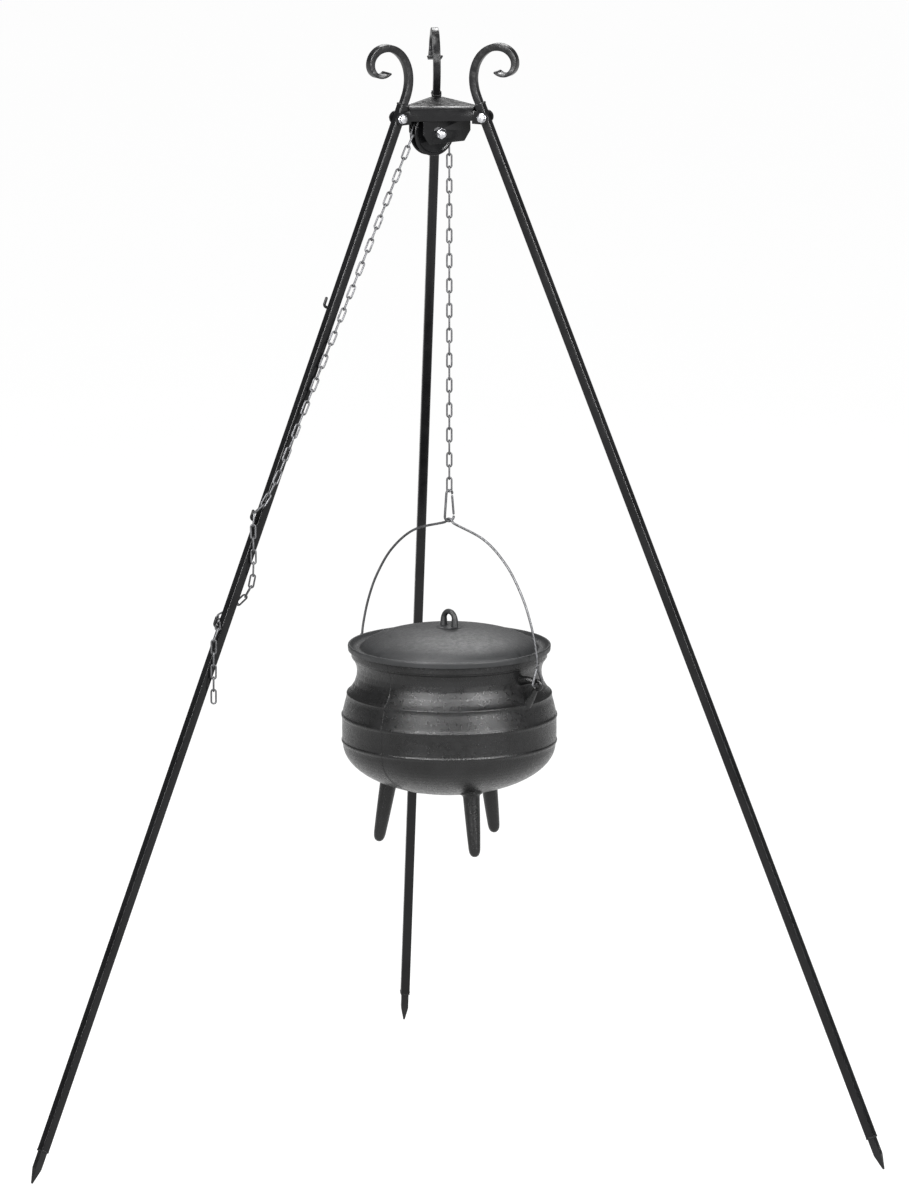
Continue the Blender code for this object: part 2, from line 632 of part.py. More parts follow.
def lid(frame):
    """A dished lid: turned-up edge, channel, dome and a cast loop handle."""
    rest = RIM_HEIGHT + GAP
    dome_edge, dome_top = 0.1450, 0.8280
    skin_thickness = 0.0045
    outside = [(dome_edge * math.sin(a), 0.7935 + (dome_top - 0.7935) * math.cos(a) ** 1.15)
               for a in [math.radians(angle) for angle in range(0, 90, 12)]]
    channel = [(0.1462, 0.7938), (0.1530, 0.7932), (0.1580, 0.7952), (0.1622, 0.7998), (0.1652, 0.8000),
               (0.1660, 0.7980), (0.1656, rest)]
    under = [(0.1505, rest), (0.1490, rest - 0.0030), (0.1440, rest - 0.0030), (0.1370, rest - 0.0010)]
    inside = [(r * 0.985, z - skin_thickness) for r, z in outside[::-1] if r < 0.140]
    inside[-1] = (0, inside[-1][1])
    outside[0] = (0, outside[0][1])
    body = place(turned_solid("pot_lid", outside + channel + under + inside, ROUND), frame)
    turn = turned(-50)
    half_span, thick = 0.0125, 0.0048
    legs_down = 0.8230
    loop = arc((0, 0.8400), half_span, 0, 180, 9)
    points = [(half_span, legs_down), *loop, (-half_span, legs_down)]
    handle = place(solid_wire("lid_handle_loop", [(x, 0, z) for x, z in points], thick), frame, True)
    handle.matrix_local = turn
    boolean(body, handle, "UNION")
    finish(body, "cast_iron")


def bail(frame):
    """The wire bail: a hump over the snap hook, two arms, and an eye through each ear of the pot."""
    crest = SNAP_BOTTOM + 2 * SNAP_WIRE + GAP + BAIL_WIRE
    apex = EAR_HEIGHT + 0.0300
    hump = [(0.0, crest), (0.0035, crest - 0.0006), (0.0062, crest - 0.0040)]
    guides = [(0.0095, crest - 0.0068), *BAIL_BENDS, (EAR_RADIUS, apex)]
    arms = [(p.x, p.y) for p in smooth_path([(x, z, 0) for x, z in guides], 17)]
    half = [(x, 0.0, z) for x, z in hump + arms]
    base, low = BAIL_EYE, EAR_HEIGHT
    corner = 0.0022
    eye = [(base - 0.0016, low + 0.0045), (base - 0.0008, low + corner), (base - 0.0026, low),
           (-base + 0.0026, low), (-base + 0.0008, low + corner), (-base + 0.0016, low + 0.0045),
           (-0.0042, apex - 0.0080)]
    for sign in (1, -1):
        points = [(sign * x, sign * y, z) for x, y, z in half]
        points += [(sign * EAR_RADIUS, sign * y, z) for y, z in eye]
        if sign == 1:
            right = points
        else:
            left = points
    path = left[::-1] + right[1:]
    item = place(wire("bail", path, BAIL_WIRE), frame)
    item.matrix_local = turned(EAR_AZIMUTH)
    finish(item, "zinc")


# ---------------------------------------------------------------- build
clear_scene()
PARTS = new_collection("campfire_tripod")
CUTTERS = new_collection("cutters")
TRIPOD = None
LIFT = SPIKE_BLUNT / 2 * math.sin(TILT)     # the leaning spikes stand on their lowest edges
TRIPOD = empty("tripod", Matrix.Translation((0, -HEAD_FORWARD, LIFT)))
FINISHES = {
    "black_paint": ((0.016, 0.016, 0.017), 0.32, 0.0),
    "cast_iron": ((0.022, 0.022, 0.023), 0.46, 0.3),
    "zinc": ((0.62, 0.63, 0.65), 0.28, 1.0),
}
JOINTS = {side: leg(side, azimuth) for side, azimuth in LEG_AZIMUTHS.items()}
for hook_name, hook_station in HOOK_STATIONS.items():
    chain_hook(hook_name, hook_station, JOINTS["left"])
pulley_frame, axle_place = head()
pulley(pulley_frame, axle_place)
chains()
snap_hook(empty("snap_frame", turned(SNAP_YAW, 0, POT_PLACE)))
pot_frame = empty("pot_frame", Matrix.Translation(POT_PLACE))
pot(pot_frame)
lid(pot_frame)
bail(pot_frame)
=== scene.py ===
"""Looks of the campfire tripod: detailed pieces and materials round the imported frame."""
import json
import math

import bmesh
import bpy
from mathutils import Matrix, Vector, noise


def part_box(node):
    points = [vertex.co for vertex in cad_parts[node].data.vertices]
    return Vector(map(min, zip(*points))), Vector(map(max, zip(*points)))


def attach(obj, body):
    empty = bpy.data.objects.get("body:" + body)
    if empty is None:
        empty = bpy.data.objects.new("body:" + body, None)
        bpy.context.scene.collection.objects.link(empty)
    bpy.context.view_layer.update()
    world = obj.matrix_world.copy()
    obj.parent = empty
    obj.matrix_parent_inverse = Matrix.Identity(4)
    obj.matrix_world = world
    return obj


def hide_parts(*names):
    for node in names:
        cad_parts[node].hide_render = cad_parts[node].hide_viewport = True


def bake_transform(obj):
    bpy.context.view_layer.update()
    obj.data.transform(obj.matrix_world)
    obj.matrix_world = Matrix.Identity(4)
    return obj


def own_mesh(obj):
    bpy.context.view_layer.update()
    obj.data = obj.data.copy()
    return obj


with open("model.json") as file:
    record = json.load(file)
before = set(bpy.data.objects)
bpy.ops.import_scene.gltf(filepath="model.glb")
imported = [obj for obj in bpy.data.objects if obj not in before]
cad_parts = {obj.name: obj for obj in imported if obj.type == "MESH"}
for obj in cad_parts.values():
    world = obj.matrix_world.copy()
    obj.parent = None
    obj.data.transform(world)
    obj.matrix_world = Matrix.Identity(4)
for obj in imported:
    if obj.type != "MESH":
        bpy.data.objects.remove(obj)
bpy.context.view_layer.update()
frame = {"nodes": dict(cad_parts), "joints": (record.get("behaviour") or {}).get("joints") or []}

# ---------------------------------------------------------------- places from the frame
JOINTS = {joint["name"]: joint for joint in frame["joints"]}
SIDES = ("left", "right", "back")
HINGES = {side: Vector(JOINTS[f"leg_{side}_fold"]["pos_m"]) for side in SIDES}
HEAD = sum(HINGES.values(), Vector()) / 3
HINGE_HEIGHT = 1.680                        # before the lift
LEG_SPREAD = 0.800 - 0.081                  # a spike's tip is this much farther out than its leg's bolt
LIFT = HEAD.z - HINGE_HEIGHT                # what the leaning spikes raise the rest by
TILT = math.atan(LEG_SPREAD / HINGE_HEIGHT)  # legs from vertical
LEG_LENGTH = math.hypot(LEG_SPREAD, HINGE_HEIGHT)
AZIMUTHS = {"left": 210, "right": 330, "back": 90}
WHEEL = Vector(JOINTS["wheel_spin"]["pos_m"])
POT = Vector(JOINTS["pot_tilt"]["pos_m"])   # on the pot's axis, at the height of its ears
POT_AXIS = Vector((POT.x, POT.y, 0))

# camera: a long lens at the side and height that the object is seen from
CAMERA_TURN = 4.36
CAMERA_DROP = 11.118
CAMERA_PLACE = (0.024, -32.042, 7.171)      # from the ground under the head, before the turn
CAMERA_LENS = 600

# legs and scrolls
TUBE = 0.015                                # square tube
BAR = 0.012                                 # square bar of the scrolls and spikes
TUBE_ABOVE_HINGE = 0.022
SPIKE_LENGTH = 0.056                        # below the tube
SCROLL_TURN = 335                           # degrees turned in all
SCROLL_RADII = (0.085, 0.0190)              # at the start and the end of the curl
SCROLL_SHRINK = 3.4                         # how quickly the radius shrinks
FLARE_THICKNESS = 0.0036
FLARE_WIDTH = 0.026
HOOK_STATIONS = {"upper": 0.329, "middle": 0.694, "lower": 0.877}   # down the left leg from its bolt

# wheel and chain
WHEEL_AZIMUTH = 30                          # the wheel's plane holds this direction and +Z
PITCH_RADIUS = 0.0334                       # of the chain on the wheel
SLACK_SLOPE = 27.6                          # slack side at the wheel, degrees from vertical
CHAIN_PITCH = 0.0204
CHAIN_WIRE = 0.00150                        # radius of the wire
CHAIN_HALF_WIDTH = 0.0053                   # of a link
LINKS_HANGING = 29
LINKS_ABOVE_SPLIT = 15                      # those that shorten when the pot is hoisted
SNAP_AZIMUTH = 20                           # the snap hook's plane

# pot
EAR_AZIMUTH = -43.5
EAR_RADIUS = 0.1850
FOOT_AZIMUTHS = (46.5, 166.5, 286.5)
SEAM_AZIMUTHS = (46.5, 226.5)
LATHE_STEPS = 176


# ---------------------------------------------------------------- mesh helpers
def turned(azimuth, tilt=0.0, at=(0, 0, 0)):
    """A frame at a point, its X axis along an azimuth and leaning by tilt radians."""
    turn = Matrix.Rotation(math.radians(azimuth), 4, "Z")
    return Matrix.Translation(at) @ turn @ Matrix.Rotation(tilt, 4, "Y")


def make(name, build, matrix=None, smooth=40):
    """A piece whose mesh is made by build(bmesh), smooth but for edges over an angle."""
    shape = bmesh.new()
    build(shape)
    bmesh.ops.recalc_face_normals(shape, faces=shape.faces)
    data = bpy.data.meshes.new(name)
    shape.to_mesh(data)
    shape.free()
    if matrix is not None:
        data.transform(matrix)
    data.shade_smooth()
    data.set_sharp_from_angle(angle=math.radians(smooth))
    piece = bpy.data.objects.new(name, data)
    bpy.context.scene.collection.objects.link(piece)
    return piece


def ring_skin(shape, rings, closed=False, caps=True):
    """Faces between rings of vertices, which may meet in a loop."""
    pairs = list(zip(rings, rings[1:])) + ([(rings[-1], rings[0])] if closed else [])
    for low, high in pairs:
        for k in range(len(low)):
            after = (k + 1) % len(low)
            shape.faces.new((low[k], low[after], high[after], high[k]))
    if caps and not closed:
        shape.faces.new(rings[0])
        shape.faces.new(rings[-1])


def tube(shape, points, radius, sides=10, closed=False, up=None, round_ends=False):
    """A round wire through points. radius is a number or a function of the share of the way."""
    points = [Vector(p) for p in points]
    count = len(points)
    size = radius if callable(radius) else (lambda share: radius)
    sizes = [size(i / max(1, count - 1)) for i in range(count)]
    if round_ends and not closed:
        points, sizes = rounded_ends(points, sizes)
        count = len(points)
    normal = None
    rings = []
    for i, here in enumerate(points):
        if closed:
            along = (points[(i + 1) % count] - points[i - 1]).normalized()
        else:
            along = (points[min(i + 1, count - 1)] - points[max(i - 1, 0)]).normalized()
        if normal is None:
            normal = Vector(up) if up else along.orthogonal()
        normal = (normal - along * normal.dot(along)).normalized()
        side = along.cross(normal)
        angles = [2 * math.pi * k / sides for k in range(sides)]
        rings.append([shape.verts.new(here + sizes[i] * (math.cos(a) * normal + math.sin(a) * side))
                      for a in angles])
    ring_skin(shape, rings, closed)


def rounded_ends(points, sizes):
    """Adds short steps at both ends so that a wire's cut ends are rounded."""
    def cap(end, inner, size):
        along = (end - inner).normalized()
        steps = (0.0, 0.4, 0.75, 0.95)
        return [(end + along * (size * s - size), size * math.sqrt(1 - s * s)) for s in steps]
    head = cap(points[0], points[1], sizes[0])[::-1]
    foot = cap(points[-1], points[-2], sizes[-1])
    joined = head + list(zip(points[1:-1], sizes[1:-1])) + foot
    return [p for p, _ in joined], [s for _, s in joined]


def rounded_section(thick, wide, corner, steps=3):
    """A rectangle with round corners, centred, as (across, side) pairs."""
    corner = min(corner, thick * 0.49, wide * 0.49)
    found = []
    for a, b, start in ((1, 1, 0), (-1, 1, 90), (-1, -1, 180), (1, -1, 270)):
        for k in range(steps + 1):
            angle = math.radians(start + 90 * k / steps)
            found.append((a * (thick / 2 - corner) + corner * math.cos(angle),
                          b * (wide / 2 - corner) + corner * math.sin(angle)))
    return found


def bar(shape, stations, corner):
    """A bar in the local XZ plane; stations are (x, z, heading, thickness, width)."""
    rings = []
    for x, z, heading, thick, wide in stations:
        across = Vector((math.sin(heading), 0, -math.cos(heading)))
        rings.append([shape.verts.new(Vector((x, 0, z)) + across * a + Vector((0, b, 0)))
                      for a, b in rounded_section(thick, wide, corner)])
    ring_skin(shape, rings)


def lathe(shape, profile, steps, centre=(0, 0, 0)):
    """A profile of (radius, height) turned about Z, with one vertex where it meets the axis."""
    rings = []
    for r, z in profile:
        if r < 1e-6:
            rings.append([shape.verts.new((centre[0], centre[1], z + centre[2]))])
            continue
        rings.append([shape.verts.new((centre[0] + r * math.cos(2 * math.pi * k / steps),
                                       centre[1] + r * math.sin(2 * math.pi * k / steps), z + centre[2]))
                      for k in range(steps)])
    for low, high in zip(rings, rings[1:]):
        for k in range(steps):
            after = (k + 1) % steps
            quad = [low[k % len(low)], low[after % len(low)], high[after % len(high)], high[k % len(high)]]
            corners = [v for i, v in enumerate(quad) if v not in quad[:i]]
            if len(corners) > 2:
                shape.faces.new(corners)


def arc(centre, radius, start, end, count):
    """Points on an arc, angles in degrees."""
    steps = [math.radians(start + (end - start) * i / (count - 1)) for i in range(count)]
    return [(centre[0] + radius * math.cos(a), centre[1] + radius * math.sin(a)) for a in steps]


def smooth_path(points, count):
    """Points evenly spread on a Catmull-Rom curve through a few given points."""
    points = [Vector(p) for p in points]
    points = [2 * points[0] - points[1], *points, 2 * points[-1] - points[-2]]
    spans = len(points) - 3
    found = []
    for i in range(count):
        place = spans * i / (count - 1)
        span = min(int(place), spans - 1)
        t = place - span
        a, b, c, d = points[span:span + 4]
        found.append(0.5 * (2 * b + (c - a) * t + (2 * a - 5 * b + 4 * c - d) * t * t
                            + (3 * b - a - 3 * c + d) * t ** 3))
    return found


def fillet(outline, radius, steps=4):
    """Rounds the corners of an open outline of 2D points."""
    found = [Vector(outline[0])]
    for before, here, after in zip(outline, outline[1:], outline[2:]):
        before, here, after = Vector(before), Vector(here), Vector(after)
        reach = min(radius, (here - before).length * 0.45, (after - here).length * 0.45)
        start = here + (before - here).normalized() * reach
        end = here + (after - here).normalized() * reach
        for k in range(steps + 1):
            t = k / steps
            found.append(start * (1 - t) ** 2 + here * 2 * t * (1 - t) + end * t * t)
    found.append(Vector(outline[-1]))
    return [tuple(p) for p in found]


# ---------------------------------------------------------------- materials
class Nodes:
    """A node material under construction."""

    def __init__(self, name):
        self.material = bpy.data.materials.new(name)
        self.material.use_nodes = True
        self.tree = self.material.node_tree
        self.shader = self.tree.nodes["Principled BSDF"]
        self.place = self.add("ShaderNodeTexCoord").outputs["Object"]

    def add(self, kind, **values):
        node = self.tree.nodes.new(kind)
        for key, value in values.items():
            if key in node.inputs:
                node.inputs[key].default_value = value
            else:
                setattr(node, key, value)
        return node

    def link(self, start, end):
        self.tree.links.new(start, end)

    def noise(self, scale, detail=4.0, roughness=0.55):
        node = self.add("ShaderNodeTexNoise", Scale=scale, Detail=detail, Roughness=roughness)
        self.link(self.place, node.inputs["Vector"])
        return node.outputs["Fac"]

    def spread(self, value, low, high, start=0.35, end=0.65):
        """Maps a noise value from start..end to low..high."""
        node = self.add("ShaderNodeMapRange")
        for key, number in (("From Min", start), ("From Max", end), ("To Min", low), ("To Max", high)):
            node.inputs[key].default_value = number
        self.link(value, node.inputs["Value"])
        return node.outputs["Result"]

    def colours(self, value, stops):
        node = self.add("ShaderNodeValToRGB")
        ramp = node.color_ramp
        while len(ramp.elements) < len(stops):
            ramp.elements.new(0.5)
        for element, (place, colour) in zip(ramp.elements, stops):
            element.position = place
            element.color = (*colour, 1)
        self.link(value, node.inputs["Fac"])
        return node.outputs["Color"]

    def bump(self, value, strength, distance, before=None):
        node = self.add("ShaderNodeBump", Strength=strength, Distance=distance)
        self.link(value, node.inputs["Height"])
        if before:
            self.link(before, node.inputs["Normal"])
        return node.outputs["Normal"]

    def set(self, **values):
        """Plugs a socket in, or sets a plain value."""
        for key, value in values.items():
            socket = self.shader.inputs[key.replace("_", " ")]
            if isinstance(value, bpy.types.NodeSocket):
                self.link(value, socket)
            else:
                socket.default_value = value


def black_paint():
    """Sprayed gloss black: a fine orange peel, a few dull patches and dust in it."""
    m = Nodes("black_paint")
    patches = m.noise(14, 3)
    colour = m.colours(patches, ((0.3, (0.0018, 0.0018, 0.0020)), (0.7, (0.0042, 0.0042, 0.0045))))
    peel = m.bump(m.noise(420, 2), 0.05, 0.0005)
    m.set(Base_Color=colour, Roughness=m.spread(m.noise(55, 4), 0.16, 0.28),
          Normal=m.bump(m.noise(45, 2), 0.06, 0.0015, peel), Specular_IOR_Level=0.20)
    return m.material


def forged_paint():
    """The same paint over forged bar: hammer facets and draw marks show through."""
    m = Nodes("forged_paint")
    colour = m.colours(m.noise(30, 3), ((0.3, (0.0018, 0.0018, 0.0020)), (0.7, (0.0050, 0.0050, 0.0054))))
    facets = m.bump(m.noise(85, 2), 0.35, 0.003)
    m.set(Base_Color=colour, Roughness=m.spread(m.noise(90, 4), 0.25, 0.42),
          Normal=m.bump(m.noise(480, 2), 0.12, 0.0006, facets), Specular_IOR_Level=0.26)
    return m.material


def cast_iron(name, dark, light, low, high, grain):
    """Sand-cast iron with black seasoning: a sharp grain over broad soft waves."""
    m = Nodes(name)
    colour = m.colours(m.noise(22, 5), ((0.32, dark), (0.68, light)))
    waves = m.bump(m.noise(38, 3), 0.16, 0.003)
    sand = m.bump(m.noise(430, 3, 0.7), grain, 0.0012, waves)
    m.set(Base_Color=colour, Roughness=m.spread(m.noise(160, 5), low, high),
          Normal=m.bump(m.noise(1500, 2, 0.6), grain * 0.7, 0.0004, sand), Metallic=0.0,
          Specular_IOR_Level=0.30)
    return m.material


def zinc(name, bright, low, high):
    """Zinc plate: faint grey clouding and fine rub marks."""
    m = Nodes(name)
    dark = 0.55 * bright
    colour = m.colours(m.noise(120, 4), ((0.3, (dark, dark, dark * 1.03)),
                                         (0.7, (bright, bright * 1.01, bright * 1.05))))
    m.set(Base_Color=colour, Metallic=1.0, Roughness=m.spread(m.noise(260, 3), low, high),
          Normal=m.bump(m.noise(700, 2), 0.08, 0.0005))
    return m.material


PAINT = black_paint()
FORGED = forged_paint()
POT_IRON = cast_iron("pot_iron", (0.0025, 0.0025, 0.0025), (0.0060, 0.0060, 0.0062), 0.25, 0.38, 0.42)
LID_IRON = cast_iron("lid_iron", (0.0085, 0.0088, 0.0092), (0.0140, 0.0144, 0.0150), 0.40, 0.54, 0.28)
ZINC = zinc("zinc_plate", 0.62, 0.20, 0.36)
# the chain, snap hook and gate get a zinc far darker than the bolts': painted shade that holds down the
# highlights the lamps put on them
LINKS_WITH_PAINTED_SHADE = zinc("zinc_links_with_painted_shade", 0.10, 0.50, 0.62)
# the bail's wire likewise gets a zinc far darker than the bolts': painted shade that holds down its
# highlights from the lamps
WIRE_WITH_PAINTED_SHADE = zinc("wire_with_painted_shade", 0.12, 0.46, 0.58)


def dress(piece, body, skin, slot, *nodes):
    """Material, body and the CAD nodes that a new piece stands for. The finish slot is not used."""
    piece.data.materials.append(skin)
    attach(piece, body)
    if nodes:
        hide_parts(*nodes)
    return piece


# ---------------------------------------------------------------- legs
def scroll_stations():
    """The bar leaves the tube, bends outward in a shrinking curl and flares at its end."""
    up = math.pi / 2
    x, z = 0.0, TUBE_ABOVE_HINGE + 0.0003
    start, end = SCROLL_RADII
    turn = math.radians(SCROLL_TURN)
    stations = [(x, z - 0.010, up, BAR - 0.0006, BAR - 0.0006), (x, z + 0.012, up, BAR, BAR)]
    z += 0.012
    steps = 84
    for i in range(steps):
        share = (i + 0.5) / steps
        radius = end + (start - end) * (1 - share) ** SCROLL_SHRINK
        heading = up - turn * share
        length = radius * turn / steps
        x += length * math.cos(heading)
        z += length * math.sin(heading)
        after = (i + 1) / steps
        flare = max(0.0, (after - 0.45) / 0.55)
        forged = 1 + 0.018 * math.sin(after * 41) * min(1, after * 3)
        thick = (BAR + (FLARE_THICKNESS - BAR) * flare) * forged
        wide = (BAR + (FLARE_WIDTH - BAR) * flare ** 1.5) * (2 - forged)
        stations.append((x, z, up - turn * after, thick, wide))
    x, z, heading, thick, wide = stations[-1]
    for reach, thinner, narrower in ((0.0006, 0.8, 0.97), (0.0010, 0.5, 0.90)):
        stations.append((x + reach * math.cos(heading), z + reach * math.sin(heading), heading,
                         thick * thinner, wide * narrower))
    return stations


def spike_stations(top):
    """Square bar drawn out to a point, with a small flat left at the tip."""
    down = -math.pi / 2
    bottom = -LEG_LENGTH
    rows = [(top + 0.010, BAR - 0.0006), (top, BAR), (bottom + 0.0262, BAR), (bottom + 0.0240, BAR * 0.955),
            (bottom + 0.012, 0.0072), (bottom + 0.0012, 0.0033), (bottom, 0.0028)]
    return [(0, z, down, side, side) for z, side in rows]


def weld_bead(height, inner, outer, seed):
    """A lumpy weld round a square bar at the end of its tube."""
    def build(shape):
        rings = []
        steps = 72
        for k in range(steps):
            angle = 2 * math.pi * k / steps
            c, s = math.cos(angle), math.sin(angle)
            square = inner / max(abs(c), abs(s)) * 0.93 + 0.07 * inner
            lump = 1 + 0.30 * noise.noise(Vector((c * 3.1, s * 3.1, seed))) + 0.13 * math.sin(k * 1.9 + seed)
            thick = outer * lump
            around = [2 * math.pi * j / 8 for j in range(8)]
            rings.append([shape.verts.new(((square + thick * 0.35 + thick * math.cos(a)) * c,
                                           (square + thick * 0.35 + thick * math.cos(a)) * s,
                                           height + thick * math.sin(a))) for a in around])
        ring_skin(shape, rings, closed=True)
    return build


def leg(side):
    """A square tube with a scroll at its top, a spike in its foot and a weld at each end."""
    pose = turned(AZIMUTHS[side], -TILT, HINGES[side])
    body = f"leg_{side}"
    top, foot = TUBE_ABOVE_HINGE, -(LEG_LENGTH - SPIKE_LENGTH)
    up = math.pi / 2

    def tube_build(shape):
        rows = [(foot, TUBE - 0.0008), (foot + 0.0004, TUBE), (top - 0.0004, TUBE), (top, TUBE - 0.0008)]
        bar(shape, [(0, z, up, side_length, side_length) for z, side_length in rows], 0.0019)
    dress(make(f"tube_{side}", tube_build, pose), body, PAINT, "black_paint", f"leg_tube_{side}")
    dress(make(f"scroll_bar_{side}", lambda s: bar(s, scroll_stations(), 0.0013), pose), body, FORGED,
          "black_paint", f"scroll_{side}")
    dress(make(f"point_{side}", lambda s: bar(s, spike_stations(foot), 0.0011), pose), body, FORGED,
          "black_paint", f"spike_{side}")
    seed = {"left": 1.0, "right": 5.0, "back": 9.0}[side]
    dress(make(f"weld_top_{side}", weld_bead(top + 0.0005, 0.0061, 0.0017, seed), pose), body, FORGED,
          "black_paint")
    dress(make(f"weld_foot_{side}", weld_bead(foot - 0.0004, 0.0061, 0.0016, seed + 2), pose), body,
          FORGED, "black_paint")


def chain_hook(name, station):
    """A J of round bar welded to the left leg's outer face."""
    pose = turned(AZIMUTHS["left"], -TILT, HINGES["left"])
    face, reach, rise, bend, wire = TUBE / 2, 0.0113, 0.016, 0.0046, 0.0024
    out = face + reach
    corner = [(x, 0, z) for x, z in arc((out - bend, -station + bend), bend, -90, 0, 9)]

    def build(shape):
        points = [(face - 0.0006, 0, -station), (face + 0.003, 0, -station), *corner,
                  (out, 0, -station + rise * 0.7), (out + 0.0004, 0, -station + rise)]
        tube(shape, points, wire, 14, round_ends=True, up=(0, 1, 0))
        bead = [0.0030 + 0.0006 * math.sin(k * 2.3) for k in range(12)]
        ring = [(face + 0.0006, bead[k] * math.cos(math.pi * k / 6),
                 -station + bead[k] * math.sin(math.pi * k / 6)) for k in range(12)]
        tube(shape, ring, 0.0011, 8, closed=True)
    dress(make(f"leg_hook_{name}", build, pose), "leg_left", PAINT, "black_paint", f"chain_hook_{name}")


# ---------------------------------------------------------------- head
def hexagon(shape, across, height, base=0.0, dome=0.0, steps=48):
    """A hexagonal head along +Z with chamfered corners; across is over the flats."""
    def edge(angle, cut):
        local = (math.degrees(angle) + 30) % 60 - 30
        return min(across / 2 / math.cos(math.radians(local)), cut)
    corner = across / 2 / math.cos(math.radians(30))
    rows = [(corner, 0.0), (corner, height * 0.80), (corner * 0.955, height * 0.94), (corner * 0.87, height)]
    rings = []
    for cut, z in rows:
        rings.append([shape.verts.new((edge(a, cut) * math.cos(a), edge(a, cut) * math.sin(a), base + z))
                      for a in [2 * math.pi * k / steps for k in range(steps)]])
    if dome:
        for share in (0.75, 0.55, 0.3, 0.08):
            z = height + dome * math.sqrt(1 - share ** 2) - dome * 0.35
            rings.append([shape.verts.new((corner * share * math.cos(a), corner * share * math.sin(a),
                                           base + max(height, z)))
                          for a in [2 * math.pi * k / steps for k in range(steps)]])
    ring_skin(shape, rings)


def fasteners():
    """Hexagon bolts through the legs, and the cap nut and bolt on the wheel's axle."""
    outside = 0.0113
    for side in SIDES:
        pose = turned(AZIMUTHS[side], -TILT, HINGES[side])
        front = 1 if side == "left" else -1
        aim = Matrix.Rotation(-front * math.pi / 2, 4, "X")

        def bolt(shape):
            lathe(shape, [(0.0, outside - 0.0002), (0.0078, outside - 0.0002), (0.0078, outside + 0.0008),
                          (0.0074, outside + 0.0012), (0.0, outside + 0.0012)], 32)
            hexagon(shape, 0.0125, 0.0045, outside + 0.0011, 0.0012)
            lathe(shape, [(0.0, outside), (0.004, outside), (0.004, -outside - 0.0074),
                          (0.0033, -outside - 0.0082), (0.0, -outside - 0.0082)], 20)

        def nut(shape):
            hexagon(shape, 0.0130, 0.0062, outside + 0.0003)
        dress(make(f"hinge_bolt_{side}", bolt, pose @ aim, 32), "head", ZINC, "zinc", f"leg_bolt_{side}")
        back = Matrix.Rotation(front * math.pi / 2, 4, "X")
        dress(make(f"hinge_nut_{side}", nut, pose @ back, 32), "head", ZINC, "zinc", f"leg_nut_{side}")

    axle = turned(WHEEL_AZIMUTH, 0, WHEEL)
    outside = 0.0218

    def cap_nut(shape):
        hexagon(shape, 0.0164, 0.0062, outside)
        dome = [(r, outside + 0.0058 + z) for r, z in arc((0, 0), 0.0076, 0, 90, 12)]
        lathe(shape, [(0.0, outside + 0.004)] + dome[:-1] + [(0.0, dome[-1][1])], 40)
    towards = Matrix.Rotation(math.pi / 2, 4, "X")
    dress(make("cap_nut", cap_nut, axle @ towards, 32), "head", ZINC, "zinc", "axle_nut")

    def axle_bolt(shape):
        hexagon(shape, 0.0165, 0.0062, outside, 0.0008)
        lathe(shape, [(0.0, outside), (0.005, outside), (0.005, -outside - 0.005),
                      (0.0, -outside - 0.005)], 24)
    away = Matrix.Rotation(-math.pi / 2, 4, "X")
    dress(make("axle_pin", axle_bolt, axle @ away, 32), "head", ZINC, "zinc", "axle_bolt")


def soften(node, width, skin):
    """A CAD node that stays: edges rounded as folded or turned metal has them."""
    piece = frame["nodes"][node]
    weld = piece.modifiers.new("Weld", "WELD")
    weld.merge_threshold = 0.00002
    edges = piece.modifiers.new("Bevel", "BEVEL")
    edges.width = width
    edges.segments = 3
    edges.limit_method = "ANGLE"
    edges.angle_limit = math.radians(35)
    edges.harden_normals = True
    piece.data.materials.clear()
    piece.data.materials.append(skin)
    piece.data.shade_smooth()


def head():
    """The head's plates and the axle's spacers stay as CAD nodes, with their edges rounded."""
    soften("top_plate", 0.0007, FORGED)
    for node in ("side_plate_front", "side_plate_left", "side_plate_right"):
        soften(node, 0.0007, PAINT)
    for node in ("cheek_front", "cheek_rear"):
        soften(node, 0.0006, PAINT)
    for node in ("axle_spacer_front", "axle_spacer_rear"):
        soften(node, 0.0004, ZINC)


def pulley():
    """The wheel: rolled rims, a round groove and a hub."""
    half, rim, hub, bore = 0.009, 0.0395, 0.0120, 0.0053

    def build(shape):
        groove = [(0.0392, 0.0066), (0.0380, 0.0058), (0.0305, 0.0048), (0.0284, 0.0024), (0.0284, -0.0024),
                  (0.0305, -0.0048), (0.0380, -0.0058), (0.0392, -0.0066)]
        face = [(bore, half), (hub, half), (hub + 0.0008, half - 0.0016), (0.0330, half - 0.0016),
                (0.0345, half - 0.0004), (rim - 0.0012, half - 0.0004), (rim, half - 0.0016)]
        back = [(r, -z) for r, z in face[::-1]]
        lathe(shape, fillet(face + groove + back, 0.0006, 2) + [(bore, half)], 96)
    pose = turned(WHEEL_AZIMUTH, 0, WHEEL) @ Matrix.Rotation(math.pi / 2, 4, "X")
    dress(make("wheel", build, pose, 45), "wheel", PAINT, "black_paint", "pulley_wheel")


# ---------------------------------------------------------------- chain
def link(shape, start, end, side):
    """One long link between two pitch points; side is the way its flat faces."""
    start, end = Vector(start), Vector(end)
    along = (end - start).normalized()
    side = (Vector(side) - along * Vector(side).dot(along)).normalized()
    middle = (start + end) / 2
    straight = (end - start).length / 2 + CHAIN_WIRE - CHAIN_HALF_WIDTH + CHAIN_WIRE
    bend = CHAIN_HALF_WIDTH - CHAIN_WIRE
    outline = arc((0, straight), bend, 0, 180, 9) + arc((0, -straight), bend, 180, 360, 9)
    tube(shape, [middle + side * x + along * y for x, y in outline], CHAIN_WIRE, 8, closed=True,
         up=along.cross(side))


